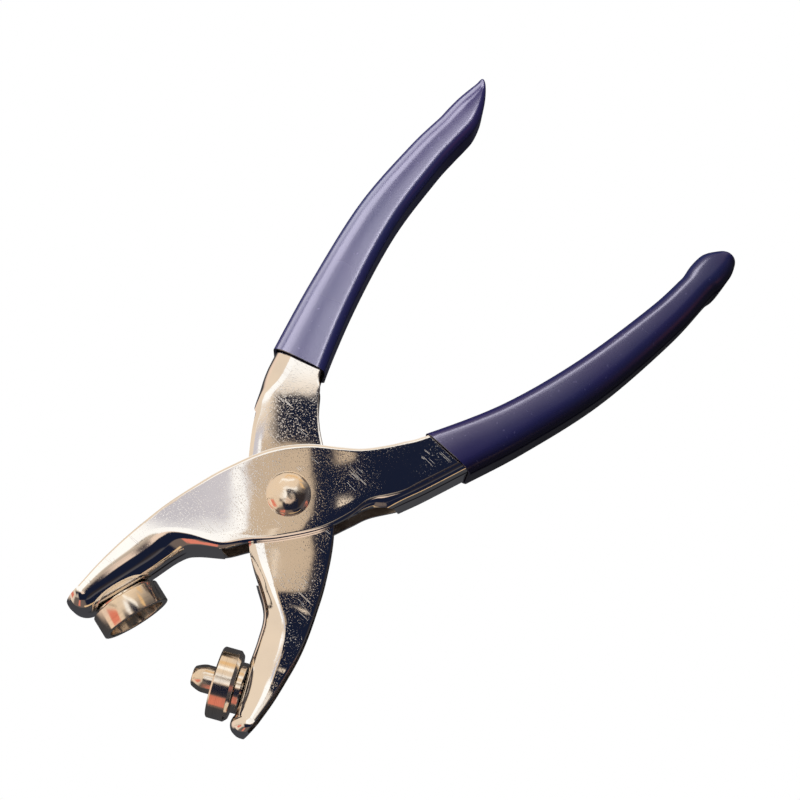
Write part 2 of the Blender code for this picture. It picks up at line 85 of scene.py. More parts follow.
# Ribs run across each arm from its open edge to its folded edge, from the jaw to the handle:
# (open edge, folded edge, fold radius, bend). Bend 1 is a whole fold with its web. Less than 1
# is the slot, where the web is cut away and the wall's lip is turned down by that share.
OUTER_RIBS = [
    ((-19.9, -47.0), (-13.8, -47.9), 5.0, 1),
    ((-20.2, -40.0), (-12.1, -41.5), 6.8, 1),
    ((-20.0, -33.0), (-10.4, -34.5), 7.4, 1),
    ((-19.4, -26.5), (-8.9, -27.6), 7.4, 1),
    ((-18.5, -20.0), (-6.9, -23.9), 4.6, 1),
    ((-16.6, -11.8), (-2.15, -19.55), 2.0, 1),
    ((-14.6, -5.0), (1.2, -13.8), 1.1, 0.30),
    ((-10.5, 4.5), (5.5, -8.9), 1.0, 0.25),
    ((-5.0, 11.4), (10.9, -1.2), 1.0, 0.25),
    ((1.0, 16.0), (13.9, 6.0), 1.2, 0.30),
    ((5.0, 19.2), (15.8, 10.6), 2.2, 0.5),
    ((8.4, 23.3), (20.7, 16.9), 2.8, 1),
    ((10.8, 26.8), (22.6, 21.6), 3.0, 1),
    ((14.0, 32.0), (25.8, 30.7), 3.0, 1),
    ((22.4, 49.7), (31.4, 47.0), 3.0, 1),
    ((28.4, 70.0), (37.0, 68.5), 3.0, 1),
    ((32.3, 92.0), (39.6, 91.5), 3.0, 1),
    ((33.2, 104.0), (39.7, 106.0), 3.0, 1),
]
INNER_RIBS = [
    ((29.6, -41.5), (25.1, -43.9), 4.0, 1),
    ((28.9, -36.0), (22.4, -38.8), 5.6, 1),
    ((27.8, -30.5), (19.7, -33.6), 6.2, 1),
    ((26.5, -25.0), (17.2, -28.2), 6.2, 1),
    ((24.9, -20.3), (14.2, -23.4), 5.6, 1),
    ((22.4, -14.6), (8.45, -19.75), 4.0, 1),
    ((19.0, -7.8), (2.9, -15.8), 2.4, 0.5),
    ((13.3, 1.0), (-4.0, -9.3), 1.1, 0.25),
    ((6.0, 8.6), (-10.5, -2.7), 1.0, 0.25),
    ((-2.7, 14.3), (-16.0, 4.2), 1.0, 0.25),
    ((-6.5, 17.2), (-19.2, 8.9), 1.2, 0.3),
    ((-9.9, 20.6), (-22.1, 12.9), 1.6, 1),
    ((-12.5, 23.8), (-24.5, 17.5), 4.2, 1),
    ((-15.4, 27.6), (-26.5, 23.4), 4.4, 1),
    ((-22.3, 45.6), (-31.9, 42.4), 3.2, 1),
    ((-28.1, 66.1), (-36.9, 64.6), 2.8, 1),
    ((-30.5, 84.0), (-38.3, 84.0), 2.8, 1),
    ((-30.9, 93.0), (-38.1, 95.5), 2.8, 1),
]
OUTER_NOSE = {"last_angle": radians(-90.0), "bulge": 0.6, "last_reach": 4.6}
INNER_NOSE = {"last_angle": radians(-88.0), "bulge": 1.1, "last_reach": 4.9}
# The web's cut end at the handle side starts this many ribs nearer the jaw on the upper wall.
HANDLE_END_SLANT = 0.8
STEPS_PER_RIB = 8
NOSE_STEPS = 22
FLAT_STEPS = 12
LIP_STEPS = 5
FOLD_STEPS = 5
WEB_STEPS = 6
LIP = radians(55.0)
EDGE_ROUNDING = 0.16
# A sheared edge rolls over softly: how far in from the edge, and how far down.
ROLL_WIDTH = 0.35
ROLL_DROP = 0.08
# The drop of a wide fold is held to this share of the arm's half depth.
FOLD_SHARE = 0.72

# ---------------------------------------------------------------- vinyl grips
GRIP_WALL = 0.6
GRIP_GAP = 0.2
GRIP_WEB_CORNER = 3.6
GRIP_OPEN_CORNER = 2.2
GRIP_CORNER_STEPS = 8
GRIP_FLAT_STEPS = 8
GRIP_CROWN = 0.65
GRIP_STEPS = 60
GRIP_END_STEPS = 6
# Past the steel, a grip is drawn by (open side, web side, share of the full depth).
OUTER_GRIP = {
    "start": 13.02,
    "slant": 0.10,
    "end": [
        ((31.9, 106.8), (40.9, 107.8), 1.0),
        ((32.1, 110.6), (40.7, 111.6), 0.98),
        ((33.5, 113.4), (40.0, 114.1), 0.92),
        ((35.4, 115.3), (38.8, 115.7), 0.80),
    ],
    "tip": (37.1, 116.3),
}
INNER_GRIP = {
    "start": 12.95,
    "slant": 0.07,
    "end": [
        ((-30.15, 95.5), (-39.0, 98.3), 1.0),
        ((-30.4, 98.8), (-39.0, 101.9), 1.0),
        ((-31.7, 102.7), (-38.8, 105.2), 0.97),
        ((-33.8, 106.2), (-38.4, 107.9), 0.92),
        ((-36.0, 108.7), (-38.0, 109.5), 0.84),
    ],
    "tip": (-37.3, 110.0),
}


# ---------------------------------------------------------------- meshes
def solid(name, vertices, faces, look, sharp=35.0, shade_look=None, shaded_faces=()):
    """A closed mesh object from points in millimetres, with outward normals.

    The faces whose numbers are in the given set take the second material, the painted shade of an
    arm's inner skin.
    """
    work = bmesh.new()
    points = [work.verts.new(Vector(vertex) * MM) for vertex in vertices]
    for index, face in enumerate(faces):
        corners = list(dict.fromkeys(points[corner] for corner in face))
        if len(corners) > 2:
            work.faces.new(corners).material_index = 1 if index in shaded_faces else 0
    bmesh.ops.remove_doubles(work, verts=work.verts, dist=1e-7)
    bmesh.ops.dissolve_degenerate(work, edges=work.edges, dist=1e-7)
    bmesh.ops.recalc_face_normals(work, faces=work.faces)
    mesh = bpy.data.meshes.new(name)
    work.to_mesh(mesh)
    work.free()
    mesh.materials.append(look)
    if shade_look:
        mesh.materials.append(shade_look)
    made = bpy.data.objects.new(name, mesh)
    bpy.context.collection.objects.link(made)
    mesh.shade_smooth()
    mesh.set_sharp_from_angle(angle=radians(sharp))
    return made


def round_edges(piece, width, segments=2, angle=50.0):
    """Rounds the piece's sharp edges by a width in millimetres."""
    bevel = piece.modifiers.new("rounded_edges", "BEVEL")
    bevel.width = width * MM
    bevel.segments = segments
    bevel.limit_method = "ANGLE"
    bevel.angle_limit = radians(angle)
    bevel.harden_normals = True


def spline(points, at):
    """The point at a fractional index on the Catmull-Rom curve through the points."""
    last = len(points) - 1
    if at < 0:
        return points[0] + (points[1] - points[0]) * at
    if at > last:
        return points[last] + (points[last] - points[last - 1]) * (at - last)
    index = min(int(at), last - 1)
    part = at - index
    here = points[index]
    there = points[index + 1]
    before = points[index - 1] if index > 0 else here * 2 - there
    after = points[index + 2] if index + 2 < len(points) else there * 2 - here
    straight = here * 2 + (there - before) * part
    bend = (before * 2 - here * 5 + there * 4 - after) * part**2
    twist = (here * 3 - before - there * 3 + after) * part**3
    return (straight + bend + twist) / 2


def smooth_step(low, high, value):
    part = min(max((value - low) / (high - low), 0.0), 1.0)
    return part * part * (3 - 2 * part)


class Arm:
    """The middle lines of one folded arm, as functions of a fractional rib number."""

    def __init__(self, ribs, nose, half_depth, jaw_half_depth):
        self.open_edge = [Vector(rib[0]) for rib in ribs]
        self.folded = [Vector(rib[1]) for rib in ribs]
        self.radius = [rib[2] for rib in ribs]
        self.last = len(ribs) - 1
        self.nose = nose
        self.half_depth = half_depth
        self.jaw_half_depth = jaw_half_depth
        in_slot = [index for index, rib in enumerate(ribs) if rib[3] < 1]
        self.slot = (in_slot[0] - 1, in_slot[-1] + 1)
        self.lip_angle = [LIP if rib[3] == 1 else rib[3] * pi / 2 for rib in ribs]
        self.wall_edge = []
        for start, end, radius in zip(self.open_edge, self.folded, self.radius):
            self.wall_edge.append(end - (end - start).normalized() * radius)
        self.lip_edge = []
        for edge, end, rib in zip(self.wall_edge, self.folded, ribs):
            self.lip_edge.append(edge.lerp(end, sin(LIP)) if rib[3] == 1 else end)
        self.jaw_web = self.folded[: self.slot[0] + 1]
        self.handle_web = self.folded[self.slot[1] :]

    def web(self, at):
        if at <= (self.slot[0] + self.slot[1]) / 2:
            return spline(self.jaw_web, at)
        return spline(self.handle_web, at - self.slot[1])

    def fold(self, at):
        """How far the fold reaches down from the wall's face, at this rib."""
        drop = min(spline(self.radius, at), FOLD_SHARE * self.half_depth)
        return max(drop, SHEET + 0.2)

    def depth(self, at):
        """Half the arm's depth: the jaw of the inner arm is deeper than its middle."""
        wide = 1 - smooth_step(self.slot[0] - 4.0, self.slot[0] + 0.5, at)
        return self.half_depth + (self.jaw_half_depth - self.half_depth) * wide

    def in_slot(self, row):
        return self.slot[0] < row < self.slot[1]

    def rib(self, at, row):
        """One rib of the arm: its plan comes from at, and its fold and slot from row."""
        if row < 0:
            return self.nose_rib(-row / NOSE_STEPS * STEPS_PER_RIB)
        made = {
            "open": spline(self.open_edge, at),
            "edge": spline(self.wall_edge, at),
            "web": self.web(at),
            "fold": self.fold(row),
            "depth": self.depth(row),
            "lip": LIP,
        }
        if self.in_slot(row):
            made["lip"] = spline(self.lip_angle, row)
            made["lip_end"] = spline(self.lip_edge, at)
        return made

    def nose_rib(self, part):
        """A rib that turns about the end of the open edge, to close the nose."""
        centre = self.open_edge[0]
        across = self.jaw_web[0] - centre
        first = atan2(across.y, across.x)
        turn = (self.nose["last_angle"] - first) % (2 * pi)
        turn = turn - 2 * pi if turn > pi else turn
        angle = first + turn * part
        reach = across.length * (1 - part) + self.nose["last_reach"] * part
        reach += self.nose["bulge"] * sin(pi * part)
        direction = Vector((cos(angle), sin(angle)))
        radius = min(self.radius[0], reach - SHEET * 0.5)
        return {
            "open": centre,
            "edge": centre + direction * (reach - radius),
            "web": centre + direction * reach,
            "fold": self.fold(0),
            "depth": self.depth(0),
            "lip": LIP,
        }


def channel_section(rib, inset):
    """Points round one rib of the folded sheet, from the upper open edge to the lower one."""
    start = rib["open"]
    web = rib["web"] - (rib["web"] - start).normalized() * inset
    limit = (web - start).length
    reach = (rib["edge"] - start).length
    if "lip_end" not in rib:
        reach = min(reach, limit - 0.2)
    edge = start + (rib["edge"] - start).normalized() * reach
    top = rib["depth"] - inset
    drop = rib["fold"] - inset
    upper = []
    flat = max((edge - start).length, 0.01)
    for step in range(FLAT_STEPS):
        inward = flat * (step / FLAT_STEPS) ** 1.7
        point = start.lerp(edge, inward / flat)
        rest = max(0.0, 1 - inward / ROLL_WIDTH)
        upper.append((point.x, point.y, top - ROLL_DROP * (1 - sqrt(1 - rest**2))))
    lip = max(rib["lip"], 0.01)
    lip_end = rib.get("lip_end", edge.lerp(web, sin(lip)))
    for step in range(LIP_STEPS + 1):
        angle = lip * step / LIP_STEPS
        point = edge.lerp(lip_end, sin(angle) / sin(lip))
        upper.append((point.x, point.y, top - drop * (1 - cos(angle))))
    for step in range(1, FOLD_STEPS + 1):
        angle = LIP + (pi / 2 - LIP) * step / FOLD_STEPS
        point = edge.lerp(web, sin(angle))
        upper.append((point.x, point.y, top - drop * (1 - cos(angle))))
    low = top - drop
    middle = []
    for step in range(1, WEB_STEPS):
        middle.append((web.x, web.y, low * (1 - 2 * step / WEB_STEPS)))
    lower = [(x, y, -z) for x, y, z in reversed(upper)]
    return upper + middle + lower


def build_arm(name, arm, look, shade_look):
    """The folded sheet of one arm: an outer and an inner skin joined along every cut edge."""
    ribs = [-step / STEPS_PER_RIB for step in range(NOSE_STEPS, 0, -1)]
    ribs += [step / STEPS_PER_RIB for step in range(arm.last * STEPS_PER_RIB + 1)]
    half = FLAT_STEPS + LIP_STEPS + FOLD_STEPS + 1
    count = 2 * half + WEB_STEPS - 1
    first_cut = FLAT_STEPS + LIP_STEPS
    last_cut = count - 1 - first_cut

    def station(row, column):
        """Slants the handle end of the slot: most at the upper wall, not at all at the lower."""
        share = min(column / first_cut, max(0.0, (last_cut - column) / (last_cut - first_cut)))
        near = max(0.0, 1 - abs(row - arm.slot[1]) / 3)
        return row - share * HANDLE_END_SLANT * near

    skins = []
    for inset in (0.0, SHEET):
        skin = []
        for row in ribs:
            sections = {}
            points = []
            for column in range(count):
                at = station(row, column)
                if at not in sections:
                    sections[at] = channel_section(arm.rib(at, row), inset)
                points.append(Vector(sections[at][column]) + Vector((0, 0, MID_HEIGHT)))
            skin.append(points)
        skins.append(skin)

    def present(row, column):
        if row < 0 or row >= len(ribs) - 1 or column < 0 or column >= count - 1:
            return False
        middle = (ribs[row] + ribs[row + 1]) / 2
        return not (arm.in_slot(middle) and first_cut <= column < last_cut)

    size = len(ribs) * count
    vertices = [point for skin in skins for row in skin for point in row]
    faces = []
    shaded_faces = set()

    def number(skin, row, column):
        return skin * size + row * count + column

    for row in range(len(ribs) - 1):
        for column in range(count - 1):
            if not present(row, column):
                continue
            corners = [(row, column), (row, column + 1), (row + 1, column + 1), (row + 1, column)]
            faces.append([number(0, *corner) for corner in corners])
            # The inner skin's face, added next, takes the painted-shade material.
            shaded_faces.add(len(faces))
            faces.append([number(1, *corner) for corner in reversed(corners)])
            beside = [(row, column - 1), (row + 1, column), (row, column + 1), (row - 1, column)]
            sides = [(0, 3), (3, 2), (2, 1), (1, 0)]
            for neighbour, (start, end) in zip(beside, sides):
                if not present(*neighbour):
                    ends = (corners[start], corners[end])
                    outer = [number(0, *corner) for corner in ends]
                    inner = [number(1, *corner) for corner in reversed(ends)]
                    faces.append(outer + inner)
    made = solid(name, vertices, faces, look, 50.0, shade_look, shaded_faces)
    round_edges(made, EDGE_ROUNDING)
    return made


def turned(name, profile, look, segments=128, sharp=25.0):
    """A turned piece about local +Z, from a closed loop of (radius, height) pairs."""
    vertices = []
    faces = []
    count = len(profile)
    for step in range(segments):
        angle = 2 * pi * step / segments
        for radius, height in profile:
            vertices.append((radius * cos(angle), radius * sin(angle), height))
    for step in range(segments):
        after = (step + 1) % segments
        for index in range(count):
            beyond = (index + 1) % count
            low = step * count
            high = after * count
            faces.append([low + index, high + index, high + beyond, low + beyond])
    return solid(name, vertices, faces, look, sharp)


def arc(centre, radius, first, last, steps):
    """Points on an arc of a turned profile, angles in degrees from +radius towards +height."""
    points = []
    for step in range(steps + 1):
        angle = radians(first + (last - first) * step / steps)
        points.append((centre[0] + radius * cos(angle), centre[1] + radius * sin(angle)))
    return points


def place(piece, centre, direction, along=0.0):
    """Puts the piece's local +Z along a direction, starting at a distance from a centre."""
    axis = Vector(direction).normalized()
    turn = axis.to_track_quat("Z", "Y").to_matrix().to_4x4()
    start = Vector(centre) + axis * along
    piece.matrix_world = Matrix.Translation(start * MM) @ turn


def grip_section(open_edge, web_edge, depth, margin, share=None):
    """A rounded rectangle round the arm at one rib, with a margin outside the steel.

    Past the steel the two edges are those of the vinyl itself, and share narrows its depth.
    """
    across = (web_edge - open_edge).normalized()
    reach = (web_edge - open_edge).length
    low = -margin if share is None else 0.0
    high = reach - low
    top = (depth + margin) * (1.0 if share is None else share)
    thinner = GRIP_WALL + GRIP_GAP - margin
    web_corner = min(GRIP_WEB_CORNER - thinner, (high - low) * 0.6)
    open_corner = min(max(GRIP_OPEN_CORNER - 2.6 * thinner, GRIP_GAP), (high - low) * 0.35)
    middle = (low + high) / 2
    outline = []
    for corner, centre_u, side, start in (
        (web_corner, high - web_corner, 1, 0.0),
        (open_corner, low + open_corner, 1, pi / 2),
        (open_corner, low + open_corner, -1, pi),
        (web_corner, high - web_corner, -1, 3 * pi / 2),
    ):
        centre_z = side * (top - corner)
        for step in range(GRIP_CORNER_STEPS):
            angle = start + pi / 2 * step / (GRIP_CORNER_STEPS - 1)
            outline.append((centre_u + corner * cos(angle), centre_z + corner * sin(angle)))
    points = []
    for index, (u, z) in enumerate(outline):
        flat = index % GRIP_CORNER_STEPS == GRIP_CORNER_STEPS - 1
        beyond_u, beyond_z = outline[(index + 1) % len(outline)]
        for step in range(GRIP_FLAT_STEPS if flat else 1):
            part = step / GRIP_FLAT_STEPS
            at_u = u + (beyond_u - u) * part
            at_z = z + (beyond_z - z) * part
            crown = GRIP_CROWN * (1 - ((at_u - middle) / (high - middle)) ** 2)
            at_z += crown * at_z / top
            plan = open_edge + across * at_u
            points.append(Vector((plan.x, plan.y, at_z + MID_HEIGHT)))
    return points


def build_grip(name, arm, shape, look):
    """A vinyl sleeve over the handle: open at the mouth and rounded shut past the steel."""
    margin = GRIP_WALL + GRIP_GAP

    def along(part, edge_margin):
        at = shape["start"] + (arm.last - shape["start"]) * part
        slant = shape["slant"] * (1 - smooth_step(0.0, 0.35, part))
        near = spline(arm.open_edge, at)
        far = arm.web(min(at + slant, arm.last))
        return grip_section(near, far, arm.half_depth, edge_margin)

    outer = [along(step / GRIP_STEPS, margin) for step in range(GRIP_STEPS)]
    tip = Vector((*shape["tip"], MID_HEIGHT))
    coarse = [outer[-1 - GRIP_END_STEPS], outer[-1]]
    for near, far, share in shape["end"]:
        coarse.append(grip_section(Vector(near), Vector(far), arm.half_depth, margin, share))
    coarse.append([point.lerp(tip, 0.93) for point in coarse[-1]])
    count = len(outer[0])
    columns = [[row[index] for row in coarse] for index in range(count)]
    for step in range(1, (len(coarse) - 2) * GRIP_END_STEPS + 1):
        at = 1 + step / GRIP_END_STEPS
        outer.append([spline(column, at) for column in columns])
    inner = [along(step / GRIP_STEPS, GRIP_GAP) for step in range(GRIP_STEPS + 1)]
    vertices = []
    faces = []
    for rows, end in ((outer, tip), (inner, sum(inner[-1], Vector()) / count)):
        base = len(vertices)
        vertices += [point for row in rows for point in row]
        vertices.append(end)
        for row in range(len(rows) - 1):
            low = base + row * count
            for step in range(count):
                after = (step + 1) % count
                faces.append([low + step, low + after, low + count + after, low + count + step])
        last = base + (len(rows) - 1) * count
        for step in range(count):
            faces.append([last + step, last + (step + 1) % count, last + count])
    size = len(outer) * count + 1
    for step in range(count):
        after = (step + 1) % count
        faces.append([step, after, size + after, size + step])
    return solid(name, vertices, faces, look, sharp=60.0)


def swept_wire(name, path, radius, look, sides=20):
    """A round wire along a path of points, with flat ends."""
    vertices = []
    faces = []
    side = Vector((0, 0, 1))
    for index, point in enumerate(path):
        before = path[max(index - 1, 0)]
        after = path[min(index + 1, len(path) - 1)]
        along = (after - before).normalized()
        side = (side - along * side.dot(along)).normalized()
        across = along.cross(side)
        for step in range(sides):
            angle = 2 * pi * step / sides
            vertices.append(point + side * radius * cos(angle) + across * radius * sin(angle))
    for row in range(len(path) - 1):
        for step in range(sides):
            after = (step + 1) % sides
            low = row * sides
            high = low + sides
            faces.append([low + step, low + after, high + after, high + step])
    faces.append(list(range(sides)))
    faces.append([len(vertices) - 1 - step for step in range(sides)])
    return solid(name, vertices, faces, look)


# ---------------------------------------------------------------- material nodes
class Nodes:
    """A short way to add shader nodes to one node tree."""

    def __init__(self, tree):
        self.tree = tree

    def add(self, kind, inputs=None, **settings):
        node = self.tree.nodes.new(kind)
        for key, value in settings.items():
            setattr(node, key, value)
        for key, value in (inputs or {}).items():
            self.put(node.inputs[key], value)
        return node

    def put(self, socket, value):
        if isinstance(value, bpy.types.NodeSocket):
            self.tree.links.new(value, socket)
        else:
            socket.default_value = value

    def math(self, operation, first, second=0.0, third=0.0):
        node = self.add("ShaderNodeMath", {0: first, 1: second, 2: third}, operation=operation)
        return node.outputs[0]

    def ramp(self, value, low, high, to_low=0.0, to_high=1.0):
        """Maps a value from low-high to another range with a smooth step."""
        inputs = {0: value, 1: low, 2: high, 3: to_low, 4: to_high}
        node = self.add("ShaderNodeMapRange", inputs, interpolation_type="SMOOTHSTEP")
        return node.outputs[0]

    def mix(self, share, first, second, blend="MIX"):
        node = self.add("ShaderNodeMix", data_type="RGBA", blend_type=blend)
        self.put(node.inputs[0], share)
        self.put(node.inputs[6], first)
        self.put(node.inputs[7], second)
        return node.outputs[2]

    def noise(self, vector, scale, detail=2.0, roughness=0.5, distortion=0.0):
        inputs = {
            "Vector": vector,
            "Scale": scale,
            "Detail": detail,
            "Roughness": roughness,
            "Distortion": distortion,
        }
        return self.add("ShaderNodeTexNoise", inputs).outputs[0]

    def bump(self, height, distance, strength=1.0, below=None):
        inputs = {"Height": height, "Distance": distance, "Strength": strength}
        if below is not None:
            inputs["Normal"] = below
        return self.add("ShaderNodeBump", inputs).outputs[0]


def colour(red, green, blue):
    return (red, green, blue, 1.0)


def new_material(name, **constants):
    """A material with a Principled shader whose constant values are set on its sockets."""
    made = bpy.data.materials.new(name)
    made.use_nodes = True
    nodes = Nodes(made.node_tree)
    shader = made.node_tree.nodes["Principled BSDF"]
    for key, value in constants.items():
        shader.inputs[key.replace("_", " ")].default_value = value
    position = nodes.add("ShaderNodeTexCoord").outputs["Object"]
    return made, nodes, shader, position


def scratches(nodes, position, turn, scale, thin, seed):
    """A mask of fine straight scratches that run one way, broken into short lengths."""
    inputs = {"Vector": position, "Rotation": (0, 0, turn), "Location": (seed, seed, seed)}
    inputs["Scale"] = (scale * 0.045, scale, scale)
    long_way = nodes.add("ShaderNodeMapping", inputs).outputs[0]
    lines = nodes.noise(long_way, 1.0, detail=0.0, distortion=0.6)
    edge = nodes.math("ABSOLUTE", nodes.math("SUBTRACT", lines, 0.5))
    mask = nodes.ramp(edge, 0.0, thin, 1.0, 0.0)
    patches = nodes.noise(position, scale * 0.3 + seed, detail=1.0)
    return nodes.math("MULTIPLY", mask, nodes.ramp(patches, 0.64, 0.70))


def plated_steel(name, tint, roughness, dimples=0.0000012):
    """Bright nickel plate over pressed sheet: pits, hairlines, cloudy wear and slow waves."""
    made, nodes, shader, position = new_material(name, Metallic=1.0)
    cloud = nodes.noise(position, 90.0, detail=3.0)
    grain = nodes.noise(position, 2600.0, detail=2.0)
    pits = nodes.ramp(nodes.noise(position, 3000.0, detail=2.0), 0.56, 0.76)
    pits_here = nodes.math("MULTIPLY", pits, nodes.ramp(cloud, 0.34, 0.58, 0.25, 1.0))
    lines = scratches(nodes, position, radians(20), 620.0, 0.012, 3.1)
    for turn, scale, thin, seed in (
        (radians(-38), 540.0, 0.010, 7.7),
        (radians(75), 700.0, 0.009, 12.9),
    ):
        lines = nodes.math("MAXIMUM", lines, scratches(nodes, position, turn, scale, thin, seed))
    worn = nodes.mix(nodes.ramp(cloud, 0.35, 0.7, 0.0, 0.5), tint, colour(0.80, 0.80, 0.82))
    speckled = nodes.mix(nodes.math("MULTIPLY", pits_here, 0.6), worn, colour(0.93, 0.95, 1.0))
    nodes.put(shader.inputs["Base Color"], speckled)
    rough = nodes.math("ADD", roughness, nodes.math("MULTIPLY", pits_here, 0.17))
    rough = nodes.math("ADD", rough, nodes.math("MULTIPLY", lines, 0.16))
    rough = nodes.math("ADD", rough, nodes.ramp(grain, 0.3, 0.8, 0.0, 0.015))
    nodes.put(shader.inputs["Roughness"], rough)
    waves = nodes.bump(nodes.noise(position, 60.0, detail=1.0), 0.00003)
    dents = nodes.bump(nodes.noise(position, 380.0, detail=1.0), dimples, below=waves)
    dug = nodes.bump(nodes.math("MAXIMUM", pits_here, lines), 0.0000018, below=dents)
    nodes.put(shader.inputs["Normal"], dug)
    return made


def turned_steel(name, tint, roughness, groove_scale):
    """Machined and plated steel: fine turning marks round local Z, with faint bands."""
    made, nodes, shader, position = new_material(name, Metallic=1.0)
    parts = nodes.add("ShaderNodeSeparateXYZ", {0: position})
    x, y, z = parts.outputs
    squares = nodes.math("ADD", nodes.math("POWER", x, 2.0), nodes.math("POWER", y, 2.0))
    radius = nodes.math("SQRT", squares)
    round_way = nodes.add("ShaderNodeCombineXYZ", {0: radius, 1: z}).outputs[0]
    marks = nodes.noise(round_way, groove_scale, detail=3.0, roughness=0.7)
    cloud = nodes.noise(position, 240.0, detail=2.0)
    tone = nodes.mix(nodes.ramp(cloud, 0.3, 0.7, 0.0, 0.6), tint, colour(0.84, 0.82, 0.80))
    dark = nodes.math("MULTIPLY", nodes.ramp(marks, 0.35, 0.5, 1.0, 0.0), 0.35)
    nodes.put(shader.inputs["Base Color"], nodes.mix(dark, tone, colour(0.42, 0.38, 0.34)))
    rough = nodes.math("ADD", roughness, nodes.ramp(cloud, 0.4, 0.8, 0.0, 0.08))
    nodes.put(shader.inputs["Roughness"], rough)
    nodes.put(shader.inputs["Normal"], nodes.bump(marks, 0.0000015))
    return made


def vinyl(name):
    """Soft dipped vinyl: deep navy, faint violet clouds, orange-peel skin and fine scuffs."""
    made, nodes, shader, position = new_material(
        name,
        Specular_IOR_Level=0.5,
        Specular_Tint=colour(0.90, 0.86, 1.0),
    )
    cloud = nodes.noise(position, 26.0, detail=3.0)
    violet = nodes.ramp(cloud, 0.35, 0.75)
    base = nodes.mix(violet, colour(0.007, 0.010, 0.045), colour(0.011, 0.009, 0.048))
    specks = nodes.ramp(nodes.noise(position, 900.0, detail=1.0), 0.70, 0.78)
    scuffs = scratches(nodes, position, radians(82), 420.0, 0.010, 5.3)
    marks = nodes.math("MULTIPLY", nodes.math("MAXIMUM", specks, scuffs), 0.12)
    nodes.put(shader.inputs["Base Color"], nodes.mix(marks, base, colour(0.13, 0.12, 0.26)))
    rough = nodes.ramp(nodes.noise(position, 60.0, detail=2.0), 0.3, 0.7, 0.24, 0.29)
    nodes.put(shader.inputs["Roughness"], nodes.math("ADD", rough, nodes.math("MULTIPLY", marks, 0.4)))
    skin = nodes.bump(nodes.noise(position, 1400.0, detail=2.0), 0.0000012)
    ripple = nodes.bump(nodes.noise(position, 160.0, detail=1.0), 0.00002, below=skin)
    nodes.put(shader.inputs["Normal"], nodes.bump(scuffs, 0.000008, below=ripple))
    return made


PLATE = plated_steel("nickel_plate", colour(0.95, 0.94, 0.93), 0.02)
# The arms' inner skin: the same plate, its tint darkened to painted shade inside the channel; its
# roughness and dimples are its own.
INNER_SKIN_SHADE = plated_steel("inner_skin_painted_shade", colour(0.30, 0.27, 0.25), 0.30, dimples=0.00002)
HEAD = plated_steel("rivet_plate", colour(0.95, 0.87, 0.77), 0.15, dimples=0.00022)
DIE = turned_steel("turned_nickel", colour(0.95, 0.86, 0.74), 0.13, 5200.0)
DARK_STEEL = turned_steel("plain_steel", colour(0.34, 0.33, 0.32), 0.30, 2600.0)
VINYL = vinyl("navy_vinyl")

# ---------------------------------------------------------------- the pieces
outer = Arm(OUTER_RIBS, OUTER_NOSE, OUTER_HALF_DEPTH, OUTER_HALF_DEPTH)
inner = Arm(INNER_RIBS, INNER_NOSE, INNER_HALF_DEPTH, INNER_JAW_HALF_DEPTH)


def stand_for(piece, node, body):
    """The piece takes the CAD node's place and, if it has a body, rides on it."""
    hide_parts(node)
    if body:
        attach(piece, body)
    return piece


# Each arm's inner skin is darkened as painted shade inside its channel.
stand_for(build_arm("outer_arm_plate", outer, PLATE, INNER_SKIN_SHADE), "outer_arm", "outer")
stand_for(build_arm("inner_arm_plate", inner, PLATE, INNER_SKIN_SHADE), "inner_arm", "inner")
GRIPS = [
    build_grip("outer_grip_sleeve", outer, OUTER_GRIP, VINYL),
    build_grip("inner_grip_sleeve", inner, INNER_GRIP, VINYL),
]
stand_for(GRIPS[0], "outer_grip", "outer")
stand_for(GRIPS[1], "inner_grip", "inner")

# Pivot rivet: a domed head with a thin rim, a shank and a flat tail.
SHANK_RADIUS = 2.5
CLEARANCE = 0.3
HEAD_RIM = 0.35
HEAD_EDGE = 0.15
DOME_STEPS = 24
TAIL_RADIUS = 4.4
TAIL_EDGE = 0.5
head_base = MID_HEIGHT + OUTER_HALF_DEPTH + CLEARANCE
tail_top = MID_HEIGHT - OUTER_HALF_DEPTH - CLEARANCE
dome_height = RIVET_HIGH.z - head_base - HEAD_RIM
dome = [(0.0, RIVET_LOW.z), (TAIL_RADIUS - TAIL_EDGE, RIVET_LOW.z)]
dome += arc((TAIL_RADIUS - TAIL_EDGE, RIVET_LOW.z + TAIL_EDGE), TAIL_EDGE, -90, 0, 6)[1:]
dome += [(TAIL_RADIUS, tail_top), (SHANK_RADIUS, tail_top), (SHANK_RADIUS, head_base)]
dome += [(HEAD_RADIUS - HEAD_EDGE, head_base), (HEAD_RADIUS, head_base + HEAD_EDGE)]
for step in range(DOME_STEPS + 1):
    angle = pi / 2 * step / DOME_STEPS
    dome.append((HEAD_RADIUS * cos(angle), head_base + HEAD_RIM + dome_height * sin(angle)))
rivet = turned("pivot_rivet_domed", dome, HEAD, sharp=40.0)
stand_for(rivet, "pivot_rivet", "outer")

# Opening spring: a torsion coil whose legs lean on the webs of the two handles.
SPRING_WIRE_RADIUS = 0.6
SPRING_COIL_RADIUS = 5.3
SPRING_PITCH = 1.4
SPRING_TURNS = 3
OUTER_LEG_END = Vector((17.9, 17.4))
INNER_LEG_END = Vector((-20.6, 17.6))


